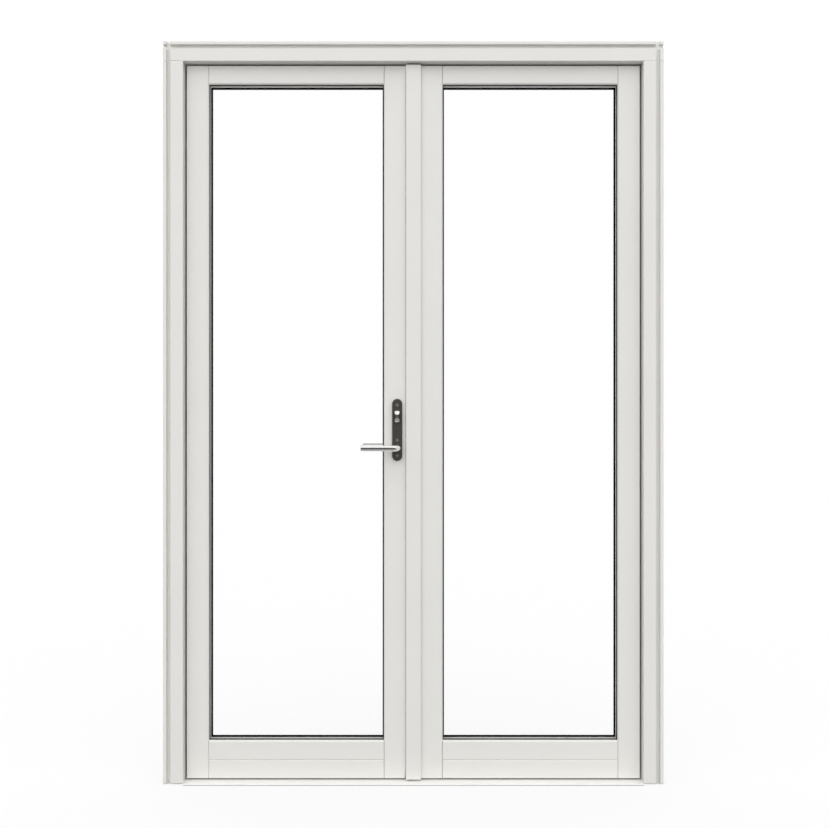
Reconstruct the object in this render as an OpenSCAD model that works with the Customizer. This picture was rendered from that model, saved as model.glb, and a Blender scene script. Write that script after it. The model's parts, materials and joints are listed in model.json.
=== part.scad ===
// Pair of outward-opening timber french doors in their frame.
// X runs along the width, +Y points outdoors, +Z is up.
// The origin is the middle of the frame's underside.

/* [Frame] */
// Overall width of the frame
frame_w = 1400; // [1360:10:1500]
// Overall height of the frame
frame_h = 2080; // [2060:10:2200]
// Depth of the frame, indoors to outdoors
frame_d = 100; // [98:1:106]
// Width of the frame's face seen from indoors
face_w = 56; // [54:1:60]
// Width of the lining groove in the frame's indoor face
groove_w = 11; // [9:0.5:14]
// Depth of the lining groove
groove_d = 12; // [6:0.5:14]
// Width of the lip outside the lining groove
groove_lip = 9.5; // [6:0.5:12]
// Radius of the arris beside the leaves
frame_arris = 1.5; // [1:0.5:3]
// Radius of the frame's outer arris
outer_arris = 2.5; // [1:0.5:4]
// Height of the undercut at the foot of each jamb
foot_rise = 4; // [2:0.5:5]
// Depth of that undercut
foot_back = 10; // [4:1:12]
// Width across the V between the head and each jamb
corner_v = 3; // [1:0.2:4]
// Depth of the rebate that takes the leaf's flange
rebate = 14; // [13:0.5:15]
// Height of the threshold under the leaves
threshold_h = 4.5; // [4:0.5:8]
// How far the threshold's nosing stands out indoors
nosing = 10; // [4:1:16]

/* [Leaves] */
// Set-back of the leaves from the frame's indoor face
leaf_recess = 32; // [30:1:34]
// Clearance round each leaf
leaf_gap = 5; // [4.5:0.5:5.5]
// Visible width of the stile on the hinge side
hinge_stile_w = 62.5; // [60:0.5:80]
// Distance from the centre line to the glass opening
meeting_w = 83; // [82:1:90]
// Visible height of the top rail
top_rail_w = 52; // [46:1:80]
// Visible height of the bottom rail
bottom_rail_w = 106.5; // [95:0.5:160]
// Height of the lower of the bottom rail's two boards
kick_board_h = 51.5; // [45:0.5:55]
// Radius of the moulding round the glass
sash_round = 6; // [3:0.5:7]
// Width across the V between the bottom rail's boards
board_v = 4.8; // [2:0.2:8]
// Width across the V at the joints of stiles and rails
joint_v = 2; // [1:0.1:3]
// How far the cover strip on the meeting post stands proud
strip_proud = 13; // [8:1:14]
// Radius of the cover strip's arrises
strip_arris = 2; // [1:0.5:3]

/* [Glazing] */
// Thickness of each pane
pane_t = 4; // [3:1:4]
// Width of the spacer between the panes
spacer_w = 18; // [12:1:20]
// Depth of the lip in front of the glass
lip_d = 10; // [9:0.5:12]
// Depth of the glazing rebate behind the lip
glass_rebate = 15; // [14:1:16]
// How far the inner gasket reaches past the lip
inner_sight = 2.2; // [1:0.1:3]
// How far the outer gasket reaches past the lip
outer_sight = 5.6; // [3:0.1:8]
// The same on the side of the meeting stile
meeting_sight = 4.4; // [3:0.1:8]
// How far the outside beads reach past the lip
bead_sight = 4; // [0:0.5:5]

/* [Handle] */
// Distance of the handle's axis from the centre line
handle_x = 45.4; // [45:0.1:47]
// Height of the lever's axis
lever_z = 941.5; // [900:0.5:1000]
// Width of the back plate
plate_w = 28.4; // [26:0.2:30]
// Length of the back plate
plate_l = 174.6; // [172:0.2:180]
// Diameter of the back plate's screw heads
screw_d = 12; // [6:0.2:13]
// Diameter of the lever's bar
bar_d = 18.4; // [16:0.2:20]
// Reach of the lever from its axis to its tip
lever_reach = 102; // [90:1:120]
// Travel of the rods and of the flush bolts
bolt_travel = 12; // [6:0.5:12]

/* [Hidden] */
$fn = 64;
e = 0.01;

xo = frame_w / 2;
xr = xo - face_w;
xb = xr + rebate;
xl = xr - leaf_gap;
xf = xb - leaf_gap;
yi = -frame_d / 2;
ye = frame_d / 2;
yl = yi + leaf_recess;
ys = 10;
yf = 14;
zh = frame_h - face_w;
zhb = zh + rebate;
zl0 = threshold_h + leaf_gap;
zl1 = zh - leaf_gap;
zf1 = zhb - leaf_gap;

// glass opening and what sits in its rebate
ox0 = xl - hinge_stile_w;
ox1 = meeting_w;
oz0 = zl0 + bottom_rail_w;
oz1 = zl1 - top_rail_w;
split_z = zl0 + kick_board_h;
yg = yl + lip_d;
gasket_t = 4;
yp0 = yg + gasket_t;
yp1 = yp0 + pane_t;
yp2 = yp1 + spacer_w;
yp3 = yp2 + pane_t;
yp4 = yp3 + gasket_t;
pane_in = 11;
block_l = 80;
block_end = 60;

// meeting edges: the active leaf's edge, and the post on the passive leaf
edge_x = -23.5;
edge_bevel = 6;
post_x0 = -20.5;
post_x1 = 22;
post_bevel = 3.5;

// hinges
hinge_h = 100;
hinge_t = 3;
hinge_foot = 200;
hinge_drop = 10;
hinge_top = 230;
hinge_zs = [hinge_foot, (frame_h - hinge_h) / 2 - hinge_drop, frame_h - hinge_top - hinge_h];
hinge_screw_end = 18;
hinge_screw_zs = [hinge_screw_end, hinge_h / 2, hinge_h - hinge_screw_end];
knuckle_l = 0.33 * hinge_h;
knuckle_gap = 0.4;
pin_x = (xb + xf) / 2;
pin_y = ye + 9;
pin_r = 4;
knuckle_r = 8;
run = 0.05;
leaf_screw_x = pin_x - 26;
frame_screw_x = pin_x + 24;

// lock
lock_y = 22;
face_x = edge_x - edge_bevel * (lock_y + 10 - yl) / (ye - yl) - 0.3;
face_t = 3;
rod_x = face_x - face_t - 2.5;
rod_t = 4.4;
rod_w = 12;
shoot_r = 5;
case_x0 = -62;
case_z0 = 880;
case_z1 = 1085;
hub_r = 12;
face_z0 = 50;
face_z1 = zl1 - 40;
face_screw_end = 30;
face_screw_pitch = 300;
tip_in = 3;

// flush bolts in the meeting post
bolt_l = 330;
bolt_room = 30;
bolt_plate_l = 90;
bolt_plate_off = 300;
bolt_plate_zs = [zf1 - bolt_plate_off, zl0 + bolt_plate_off];
bolt_slot_l = 40;

// handle set
plate_t = 9;
plate_rise = 50.8;
plate_c = lever_z + plate_rise;
turn_rise = 88.4;
turn_z = lever_z + turn_rise;
screw_off = 22;
screw_top = 120.5;
screw_zs = [lever_z - screw_off, lever_z + screw_off, lever_z + screw_top];
screw_seat = 1.2;
cross_w = 2;
lever_bore = bar_d / 2 + 0.4;
bend_r = 18;
bar_y = yl - plate_t - 45;

// fixings
fix_y = 32;
fix_end = 140;
fix_count = 4;
fix_zs = [for (i = [0 : fix_count - 1]) fix_end + i * (frame_h - 2 * fix_end) / (fix_count - 1)];
sleeve_r = 7;
sleeve_bore = 5.25;

paint = [0.885, 0.88, 0.862];
steel = [0.72, 0.73, 0.74];
rubber = [0.09, 0.09, 0.09];
glass = [0.85, 0.93, 0.92, 0.3];

// Extrudes a (y, z) section along X.
module along_x(x0, x1) {
  translate([x0, 0, 0]) rotate([90, 0, 90]) linear_extrude(x1 - x0) children();
}

// Extrudes an (x, y) section from z0 to z1.
module along_z(z0, z1) {
  translate([0, 0, z0]) linear_extrude(z1 - z0) children();
}

// Box between two corners.
module block(a, b) {
  translate(a) cube(b - a);
}

// Cylinder along +Y from y0 to y1 about a point in X and Z.
module peg(x, z, y0, y1, r) {
  translate([x, y0, z]) rotate([-90, 0, 0]) cylinder(r = r, h = y1 - y0);
}

// What a rounded arris takes off a corner at the origin whose wood lies in -u and +v.
module arris(r) {
  difference() {
    translate([-r, -1]) square([r + 1, r + 1]);
    translate([-r, r]) circle(r);
  }
}

// Section of a jamb on the left: groove, rounded arris and rebate.
module jamb_section() {
  difference() {
    union() {
      translate([-xo, yi]) square([face_w, ys - yi]);
      translate([-xo, yi]) square([face_w - rebate, frame_d]);
    }
    translate([-xo + groove_lip, yi - 1]) square([groove_w, groove_d + 1]);
    translate([-xr, yi]) arris(frame_arris);
    translate([-xo, yi]) mirror([1, 0]) arris(outer_arris);
  }
}

// Groove of V section, w across, to cut along X into a face at a (y, z) point.
module v_cut(w) {
  rotate(45) square(w / sqrt(2), center = true);
}

// Bores for the fixing sleeves, along X through the left jamb.
module sleeve_bores(r) {
  for (z = fix_zs)
    translate([-xo - 1, fix_y, z]) rotate([0, 90, 0]) cylinder(r = r, h = face_w);
}

// Countersunk screws through a hinge plate, three to each hinge.
module plate_screws(x, grow = 0) {
  for (z = hinge_zs, dz = hinge_screw_zs)
    translate([x, 0, z + dz]) rotate([90, 0, 0]) {
      translate([0, 0, -ye - hinge_t]) cylinder(r1 = 4 + grow, r2 = 2 + grow, h = 2.4);
      translate([0, 0, -ye - hinge_t]) cylinder(r = 2 + grow, h = 28 + grow);
    }
}

module jamb_solid() {
  difference() {
    along_z(0, zh) jamb_section();
    sleeve_bores(sleeve_r + run);
    plate_screws(-frame_screw_x, 0.05);
    // undercut foot, and half of the V at the joint with the head
    along_x(-xo - 1, -xr + 1) {
      translate([yi, 0]) polygon([[-1, -1], [-1, foot_rise], [0, foot_rise], [foot_back, 0], [foot_back, -1]]);
      translate([yi, zh]) v_cut(corner_v);
    }
  }
}

module left_jamb() {
  color(paint) jamb_solid();
}

module right_jamb() {
  color(paint) mirror([1, 0, 0]) jamb_solid();
}

module head() {
  color(paint) difference() {
    block([-xo, yi, zh], [xo, ye, frame_h]);
    // rebate for the leaves' flanges
    block([-xb, ys, zh - 1], [xb, ye + 1, zhb]);
    // lining grooves, crossing at the corners
    along_x(-xo - 1, xo + 1)
      translate([yi - 1, frame_h - groove_lip - groove_w]) square([groove_d + 1, groove_w]);
    for (m = [0, 1]) mirror([m, 0, 0])
      along_z(zh - 1, frame_h + 1)
        translate([-xo + groove_lip, yi - 1]) square([groove_w, groove_d + 1]);
    // rounded arrises, and the other half of the V over each jamb
    along_x(-xr, xr) translate([yi, zh]) mirror([1, 0]) arris(frame_arris);
    along_x(-xo - 1, xo + 1) translate([yi, frame_h]) rotate(180) arris(outer_arris);
    for (m = [0, 1]) mirror([m, 0, 0]) {
      along_z(zh - 1, frame_h + 1) translate([-xo, yi]) mirror([1, 0]) arris(outer_arris);
      along_x(-xo - 1, -xr) translate([yi, zh]) v_cut(corner_v);
    }
    // seats and bores for the keepers
    for (x = [rod_x, 0]) {
      block([x - 14, lock_y - 10, zhb - 1], [x + 14, lock_y + 10, zhb + 2]);
      translate([x, lock_y, zhb]) cylinder(r = shoot_r + 1, h = 14);
    }
  }
}

module head_keepers() {
  color(steel) for (x = [rod_x, 0])
    difference() {
      block([x - 13.8, lock_y - 9.8, zhb], [x + 13.8, lock_y + 9.8, zhb + 2]);
      translate([x, lock_y, zhb - 1]) cylinder(r = shoot_r + 0.5, h = 4);
    }
}

// Rolled threshold with a thin undercut nosing indoors and a weathered front outdoors.
module threshold() {
  top = threshold_h;
  y0 = yi - nosing;
  undercut = 3;
  tip = 2.6;
  color([0.86, 0.86, 0.85]) difference() {
    union() {
      along_x(-xr + 0.2, xr - 0.2) polygon([
        [y0 + undercut, 0], [y0, tip], [y0 + 1, tip + 1], [yl, top], [ys, top], [ys, 0]
      ]);
      along_x(-xb + 0.2, xb - 0.2) polygon([
        [ys, 0], [ys, top], [ye - 4, top], [ye + 24, 3.4], [ye + 26, 2.4], [ye + 26, 0]
      ]);
    }
    for (x = [rod_x, 0])
      translate([x, lock_y, -1]) cylinder(r = shoot_r + 0.8, h = top + 2);
    // drainage channel under the leaves' outer face
    block([-xl, ye - 10, top - 1.5], [xl, ye - 4, top + 1]);
  }
}

// Bulb seal on the frame's shoulder, up the jambs and across the head.
module frame_seal() {
  h = yf - ys - 0.4;
  w = 8;
  x0 = xr + 3;
  z1 = zh + 3;
  color(rubber) union() {
    for (m = [0, 1]) mirror([m, 0, 0])
      along_z(zl0, z1 + w) translate([-x0 - w / 2, ys]) seal_section(w, h);
    along_x(-x0 - w, x0 + w) translate([ys, z1]) square([h, w]);
  }
}

// Seal section: a flat back with a narrower sealing face.
module seal_section(w, h) {
  translate([-w / 2, 0]) square([w, h - 1]);
  translate([-w / 2 + 1, 0]) square([w - 2, h]);
}

// Steel tubes that take the wall screws.
module frame_sleeves() {
  color(steel) for (m = [0, 1]) mirror([m, 0, 0]) for (z = fix_zs)
    translate([-xo, fix_y, z]) rotate([0, 90, 0]) difference() {
      cylinder(r = sleeve_r, h = face_w - rebate);
      translate([0, 0, -1]) cylinder(r = sleeve_bore, h = face_w);
    }
}

// Frame half of one hinge on the left: plate and two knuckles.
module hinge_frame() {
  difference() {
    union() {
      block([-pin_x - 38, ye, 0], [-pin_x - 6, ye + hinge_t, hinge_h]);
      for (z = [0, hinge_h - knuckle_l]) {
        block([-pin_x - 7, ye, z], [-pin_x - 1, ye + hinge_t, z + knuckle_l]);
        translate([-pin_x, pin_y, z]) cylinder(r = knuckle_r, h = knuckle_l);
      }
    }
    translate([-pin_x, pin_y, -1]) cylinder(r = pin_r + 0.02, h = hinge_h + 2);
  }
}

// Leaf half of one hinge on the left: plate and the middle knuckle.
module hinge_leaf() {
  z0 = knuckle_l + knuckle_gap;
  z1 = hinge_h - z0;
  difference() {
    union() {
      block([-pin_x + 6, ye, 0], [-pin_x + 40, ye + hinge_t, hinge_h]);
      block([-pin_x + 1, ye, z0], [-pin_x + 7, ye + hinge_t, z1]);
      translate([-pin_x, pin_y, z0]) cylinder(r = knuckle_r, h = z1 - z0);
    }
    translate([-pin_x, pin_y, -1]) cylinder(r = pin_r + run, h = hinge_h + 2);
  }
}

module hinge_frames() {
  difference() {
    for (z = hinge_zs) translate([0, 0, z]) hinge_frame();
    plate_screws(-frame_screw_x, 0.05);
  }
}

module hinge_leaves() {
  difference() {
    for (z = hinge_zs) translate([0, 0, z]) hinge_leaf();
    plate_screws(-leaf_screw_x, 0.05);
  }
}

// Hinge pins with a domed head on the top knuckle.
module hinge_pins() {
  for (z = hinge_zs) translate([-pin_x, pin_y, z]) {
    cylinder(r = pin_r, h = hinge_h);
    translate([0, 0, hinge_h]) rotate_extrude() intersection() {
      translate([0, -3]) circle(9);
      square([7, 8]);
    }
  }
}

module left_hinge_frames() { color(steel) hinge_frames(); }
module right_hinge_frames() { color(steel) mirror([1, 0, 0]) hinge_frames(); }
module left_hinge_pins() { color(steel) hinge_pins(); }
module right_hinge_pins() { color(steel) mirror([1, 0, 0]) hinge_pins(); }
module active_hinge_leaves() { color(steel) hinge_leaves(); }
module passive_hinge_leaves() { color(steel) mirror([1, 0, 0]) hinge_leaves(); }
module frame_hinge_screws() {
  color(steel) for (m = [0, 1]) mirror([m, 0, 0]) plate_screws(-frame_screw_x);
}
module active_hinge_screws() { color(steel) plate_screws(-leaf_screw_x); }
module passive_hinge_screws() { color(steel) mirror([1, 0, 0]) plate_screws(-leaf_screw_x); }

// Groove under a leaf for its bottom seal, in a (y, z) section.
module seal_groove() {
  translate([19.9, zl0 - 1]) square([5.2, 7.2]);
}

// Stile on the hinge side of the left leaf.
module hinge_stile() {
  core = xl - ox0 - glass_rebate;
  difference() {
    union() {
      along_z(zl0, zl1) difference() {
        union() {
          translate([-xl, yl]) square([hinge_stile_w, lip_d]);
          translate([-xl, yl]) square([core, ye - yl]);
        }
        translate([-ox0, yl]) arris(sash_round);
      }
      along_z(zl0, zf1) translate([-xf, yf]) square([core + xf - xl, ye - yf]);
    }
    plate_screws(-leaf_screw_x, 0.05);
    along_x(-xl + 2, 0) seal_groove();
  }
}

module active_hinge_stile() { color(paint) hinge_stile(); }
module passive_hinge_stile() { color(paint) mirror([1, 0, 0]) hinge_stile(); }

// Stile at the meeting edge of the left leaf; x1 and x2 are its edge indoors and outdoors.
module meeting_stile(x1, x2) {
  far = 2 * ox1;
  module section() {
    difference() {
      polygon([
        [-ox1, yl], [x1, yl], [x2, ye], [-ox1 + glass_rebate, ye],
        [-ox1 + glass_rebate, yg], [-ox1, yg]
      ]);
      translate([-ox1, yl]) mirror([1, 0]) arris(sash_round);
    }
  }
  difference() {
    union() {
      along_z(zl0, zl1) section();
      along_z(zl0, zf1) intersection() {
        section();
        translate([-far, yf]) square(far);
      }
    }
    along_x(-far, x1 - 4) seal_groove();
  }
}

module active_lock_stile() {
  color(paint) difference() {
    meeting_stile(edge_x, edge_x - edge_bevel);
    // seat of the faceplate, groove of the rods and mortise of the lock
    block([face_x - face_t, lock_y - 10.1, face_z0], [0, lock_y + 10.1, face_z1]);
    block([rod_x - rod_t / 2 - 0.3, lock_y - rod_w / 2 - 0.3, zl0 - 1],
          [face_x - face_t + e, lock_y + rod_w / 2 + 0.3, zf1 + 1]);
    translate([rod_x, lock_y, zl0 - 1]) cylinder(r = shoot_r + 0.4, h = 60);
    translate([rod_x, lock_y, face_z1 - 12]) cylinder(r = shoot_r + 0.4, h = zf1 - face_z1 + 13);
    block([case_x0 - 0.3, lock_y - 9.3, case_z0 - 0.3], [face_x - face_t + e, lock_y + 9.3, case_z1 + 0.3]);
    // bore of the spindle, and the handle's other bores from indoors
    peg(-handle_x, lever_z, yl - 1, ye + 1, 7);
    peg(-handle_x, turn_z, yl - 1, lock_y, 5.5);
    for (z = screw_zs) peg(-handle_x, z, yl - 1, yl + 16, 1.75);
  }
}

module passive_meeting_stile() {
  color(paint) mirror([1, 0, 0]) meeting_stile(-post_x1, -post_x1);
}

// Thin joint lines where a rail's ends meet the stiles.
module joint_lines() {
  for (x = [-ox0, -ox1])
    along_z(zl0 - 1, zl1 + 1) translate([x, yl]) v_cut(joint_v);
}

// Rail between the stiles: lip in front of the glass, core behind it.
module rail(z0, z1, lip_z0, lip_z1) {
  along_x(-ox0, -ox1) translate([yl, lip_z0]) square([lip_d, lip_z1 - lip_z0]);
  along_x(-ox0 - glass_rebate, -ox1 + glass_rebate)
    translate([yg, z0]) square([ye - yg, z1 - z0]);
}

module top_rail() {
  difference() {
    union() {
      rail(oz1 + glass_rebate, zl1, oz1, zl1);
      along_x(-ox0 - glass_rebate, -ox1 + glass_rebate)
        translate([yf, zl1 - e]) square([ye - yf, zf1 - zl1 + e]);
    }
    along_x(-ox0 - 1, -ox1 + 1) translate([yl, oz1]) mirror([1, 0]) arris(sash_round);
    joint_lines();
  }
}

module bottom_rail() {
  difference() {
    rail(split_z, oz0 - glass_rebate, split_z, oz0);
    along_x(-ox0 - 1, -ox1 + 1) translate([yl, oz0]) rotate(180) arris(sash_round);
    board_joint();
    joint_lines();
  }
}

module kick_board() {
  difference() {
    rail(zl0, split_z, zl0, split_z);
    board_joint();
    joint_lines();
    along_x(-xl, 0) seal_groove();
  }
}

// V between the two boards of the bottom rail.
module board_joint() {
  along_x(-ox0 - 1, -ox1 + 1) translate([yl, split_z]) v_cut(board_v);
}

module active_top_rail() { color(paint) top_rail(); }
module active_bottom_rail() { color(paint) bottom_rail(); }
module active_kick_board() { color(paint) kick_board(); }
module passive_top_rail() { color(paint) mirror([1, 0, 0]) top_rail(); }
module passive_bottom_rail() { color(paint) mirror([1, 0, 0]) bottom_rail(); }
module passive_kick_board() { color(paint) mirror([1, 0, 0]) kick_board(); }

// Pane between two planes.
module pane(y0, y1) {
  block([-ox0 - pane_in, y0, oz0 - pane_in], [-ox1 + pane_in, y1, oz1 + pane_in]);
}

// Four-sided ring in the glazing rebate; inner is its reach into the opening, side its reach at the meeting stile.
module ring(y0, y1, outer, inner, side) {
  difference() {
    block([-ox0 - outer, y0, oz0 - outer], [-ox1 + outer, y1, oz1 + outer]);
    block([-ox0 + inner, y0 - 1, oz0 + inner], [-ox1 - side, y1 + 1, oz1 - inner]);
  }
}

module inner_pane() { color(glass) pane(yp0, yp1); }
module outer_pane() { color(glass) pane(yp2, yp3); }
module spacer() { color([0.8, 0.8, 0.8]) ring(yp1, yp2, 8, 1, 1); }
module inner_gasket() { color(rubber) ring(yg, yp0, 9, inner_sight, inner_sight); }
module outer_gasket() { color(rubber) ring(yp3, yp4, 9, outer_sight, meeting_sight); }

// Outside beads with a weathered face, mitred at the corners.
module glazing_beads() {
  fall = (ye - yp4) * tan(15);
  o = glass_rebate - 0.2;
  cut = 4 * o;
  module bar(len) {
    rotate([90, 0, 90]) linear_extrude(len) polygon([
      [yp4, -o], [yp4, bead_sight], [ye, bead_sight - fall], [ye, -o]
    ]);
  }
  module mitred(len) {
    difference() {
      translate([-o, 0, 0]) bar(len + 2 * o);
      for (s = [0, 1])
        translate([s * len, 0, 0]) mirror([s, 0, 0]) rotate([0, 45, 0])
          translate([-cut, 0, -cut / 2]) cube([cut + 0.1, frame_d, cut]);
    }
  }
  w = ox0 - ox1;
  h = oz1 - oz0;
  color(paint) {
    translate([-ox0, 0, oz0]) mitred(w);
    translate([-ox0, 0, oz1]) mirror([0, 0, 1]) mitred(w);
    translate([-ox0, 0, oz1]) rotate([0, 90, 0]) mitred(h);
    translate([-ox1, 0, oz0]) rotate([0, -90, 0]) mitred(h);
  }
}

// Blocks that carry the glass on the bottom rail.
module setting_blocks() {
  z0 = oz0 - glass_rebate;
  color([0.25, 0.3, 0.35]) for (x = [-ox0 + block_end, -ox1 - block_end - block_l])
    block([x, yp0, z0], [x + block_l, yp3, oz0 - pane_in]);
}

// Weathered drip rail across the foot of a leaf, outdoors.
module drip_rail() {
  color([0.86, 0.86, 0.85]) along_x(-xl + 40, -ox1 + 40) difference() {
    polygon([
      [ye, zl0 + 18], [ye + 20, zl0 + 10], [ye + 22, zl0 + 10],
      [ye + 22, zl0 + 16], [ye + 3, zl0 + 44], [ye, zl0 + 44]
    ]);
    translate([ye + 14, zl0 + 11]) circle(2.5);
  }
}

// Wiping seal under a leaf.
module bottom_seal(x1) {
  color(rubber) along_x(-xl + 4, x1) {
    translate([20, zl0]) square([5, 6]);
    translate([21, threshold_h + 0.4]) square([3, leaf_gap]);
  }
}

module active_inner_pane() { inner_pane(); }
module active_outer_pane() { outer_pane(); }
module active_spacer() { spacer(); }
module active_inner_gasket() { inner_gasket(); }
module active_outer_gasket() { outer_gasket(); }
module active_glazing_beads() { glazing_beads(); }
module active_setting_blocks() { setting_blocks(); }
module active_drip_rail() { drip_rail(); }
module active_bottom_seal() { bottom_seal(rod_x - 10); }
module passive_inner_pane() { mirror([1, 0, 0]) inner_pane(); }
module passive_outer_pane() { mirror([1, 0, 0]) outer_pane(); }
module passive_spacer() { mirror([1, 0, 0]) spacer(); }
module passive_inner_gasket() { mirror([1, 0, 0]) inner_gasket(); }
module passive_outer_gasket() { mirror([1, 0, 0]) outer_gasket(); }
module passive_glazing_beads() { mirror([1, 0, 0]) glazing_beads(); }
module passive_setting_blocks() { mirror([1, 0, 0]) setting_blocks(); }
module passive_drip_rail() { mirror([1, 0, 0]) drip_rail(); }
module passive_bottom_seal() { mirror([1, 0, 0]) bottom_seal(rod_x - 10); }

// Post on the passive leaf's meeting edge, with the cover strip worked on it.
module meeting_post() {
  x_out = post_x0 + post_bevel;
  color(paint) difference() {
    union() {
      along_z(zl0, zl1) difference() {
        polygon([
          [post_x0, yl - strip_proud], [post_x1, yl - strip_proud], [post_x1, ye],
          [x_out, ye], [post_x0, yl]
        ]);
        translate([post_x0, yl - strip_proud]) mirror([1, 0]) arris(strip_arris);
        translate([post_x1, yl - strip_proud]) arris(strip_arris);
        translate([post_x0 - 1, yl + 1]) square([6, 2.2]);
      }
      along_z(zl0, zf1) polygon([
        [post_x0 + post_bevel * (yf - yl) / (ye - yl), yf], [post_x1, yf], [post_x1, ye], [x_out, ye]
      ]);
    }
    // bores and slots of the flush bolts, and seats of their plates
    for (z = [zf1 - bolt_l - bolt_room, zl0 - 1])
      translate([0, lock_y, z]) cylinder(r = shoot_r + 0.4, h = bolt_l + bolt_room + 1);
    for (z = bolt_plate_zs) {
      block([post_x0 - 1, lock_y - 9.1, z - bolt_plate_l / 2 - 0.1],
            [post_x0 + 5, lock_y + 9.1, z + bolt_plate_l / 2 + 0.1]);
      block([post_x0, lock_y - 3.6, z - bolt_slot_l / 2 - 2], [0, lock_y + 3.6, z + bolt_slot_l / 2 + 2]);
    }
  }
}

// Seal in the post's kerf that closes the meeting gap.
module meeting_seal() {
  color([0.8, 0.8, 0.78]) along_z(zl0 + 4, zl1 - 4) {
    translate([edge_x + 0.7, yl]) square([post_x0 - edge_x - 0.7, 4]);
    translate([post_x0 - e, yl + 1.1]) square([4.8, 2]);
  }
}

// Plates of the flush bolts in the post's edge, each with a slot for the knob.
module flush_bolt_plates() {
  color(steel) for (z = bolt_plate_zs)
    difference() {
      block([post_x0 + 3, lock_y - 9, z - bolt_plate_l / 2], [post_x0 + 5, lock_y + 9, z + bolt_plate_l / 2]);
      block([post_x0, lock_y - 3.4, z - bolt_slot_l / 2], [post_x0 + 8, lock_y + 3.4, z + bolt_slot_l / 2]);
    }
}

// Flush bolt: a rod in the post with a thumb knob that stands in the plate's slot.
module flush_bolt(z0, z1, knob_z) {
  color(steel) union() {
    translate([0, lock_y, z0]) cylinder(r = shoot_r, h = z1 - z0);
    translate([post_x0 + 2, lock_y, knob_z]) rotate([0, 90, 0]) cylinder(r = 3, h = -post_x0 - 2);
  }
}

module upper_flush_bolt() { flush_bolt(zf1 - bolt_l, zf1 - 0.5, bolt_plate_zs[0] - bolt_travel / 2); }
module lower_flush_bolt() { flush_bolt(zl0 + tip_in, zl0 + bolt_l, bolt_plate_zs[1] + bolt_travel / 2); }

module lock_faceplate() {
  color(steel) difference() {
    block([face_x - face_t, lock_y - 10, face_z0 + 0.1], [face_x, lock_y + 10, face_z1 - 0.1]);
    for (z = [face_z0 + face_screw_end : face_screw_pitch : face_z1 - face_screw_end])
      translate([face_x + e, lock_y, z]) rotate([0, -90, 0]) cylinder(r1 = 4, r2 = 2.2, h = face_t + 1);
  }
}

// Lock case: a folded steel box, open where the rods and the spindles pass.
module lock_case() {
  x1 = face_x - face_t;
  color(steel) difference() {
    block([case_x0, lock_y - 9, case_z0], [x1, lock_y + 9, case_z1]);
    block([case_x0 + 1.5, lock_y - 7.5, case_z0 + 1.5], [x1 + 1, lock_y + 7.5, case_z1 - 1.5]);
    block([rod_x - rod_t / 2 - 0.4, lock_y - rod_w / 2 - 0.4, case_z0 - 1],
          [x1 + 1, lock_y + rod_w / 2 + 0.4, case_z1 + 1]);
    peg(-handle_x, lever_z, lock_y - 20, lock_y + 20, 6.6);
    peg(-handle_x, turn_z, lock_y - 20, lock_y, 4.6);
  }
}

// Follower that the spindle turns inside the lock case.
module lock_hub() {
  color(steel) difference() {
    union() {
      peg(-handle_x, lever_z, lock_y - 7, lock_y + 7, 6.3);
      peg(-handle_x, lever_z, lock_y - 3, lock_y + 3, hub_r);
    }
    translate([-handle_x, lock_y, lever_z]) cube([8.1, 40, 8.1], center = true);
  }
}

module upper_rod() {
  z0 = lever_z + hub_r + 2;
  color(steel) union() {
    block([rod_x - rod_t / 2, lock_y - rod_w / 2, z0], [rod_x + rod_t / 2, lock_y + rod_w / 2, zf1 - 25]);
    translate([rod_x, lock_y, zf1 - 34]) cylinder(r = shoot_r, h = 33.5);
  }
}

module lower_rod() {
  z1 = lever_z - hub_r - 2;
  color(steel) union() {
    block([rod_x - rod_t / 2, lock_y - rod_w / 2, zl0 + 20], [rod_x + rod_t / 2, lock_y + rod_w / 2, z1]);
    translate([rod_x, lock_y, zl0 + tip_in]) cylinder(r = shoot_r, h = 30);
  }
}

// Half section of the back plate, with a rounded front edge.
module plate_half() {
  r = plate_w / 2;
  square([r - 3, plate_t]);
  square([r, plate_t - 3]);
  translate([r - 3, plate_t - 3]) circle(3);
}

// Back plate without its bores, its back on y = 0 and its front in -Y.
module plate_blank() {
  l = plate_l - plate_w;
  translate([-handle_x, 0, plate_c]) rotate([90, 0, 0]) union() {
    for (z = [-l / 2, l / 2]) translate([0, z, 0]) rotate_extrude() intersection() {
      plate_half();
      square([plate_w, plate_w]);
    }
    rotate([90, 0, 0]) translate([0, 0, -l / 2]) linear_extrude(l) intersection() {
      union() {
        plate_half();
        mirror([1, 0]) plate_half();
      }
      translate([-plate_w, 0]) square([2 * plate_w, plate_w]);
    }
  }
}

// Indoor back plate with all its bores, and a plain one outdoors for the second lever.
module handle_plate() {
  color([0.27, 0.265, 0.25]) {
    difference() {
      translate([0, yl, 0]) plate_blank();
      peg(-handle_x, lever_z, yl - 20, yl + 1, lever_bore);
      peg(-handle_x, turn_z, yl - 20, yl + 1, 5.3);
      for (z = screw_zs) {
        peg(-handle_x, z, yl - 20, yl + 1, 1.85);
        peg(-handle_x, z, yl - 20, yl - plate_t + screw_seat, screw_d / 2 + 0.2);
      }
    }
    difference() {
      translate([0, ye, 0]) mirror([0, 1, 0]) plate_blank();
      peg(-handle_x, lever_z, ye - 1, ye + 20, lever_bore);
    }
  }
}

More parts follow.
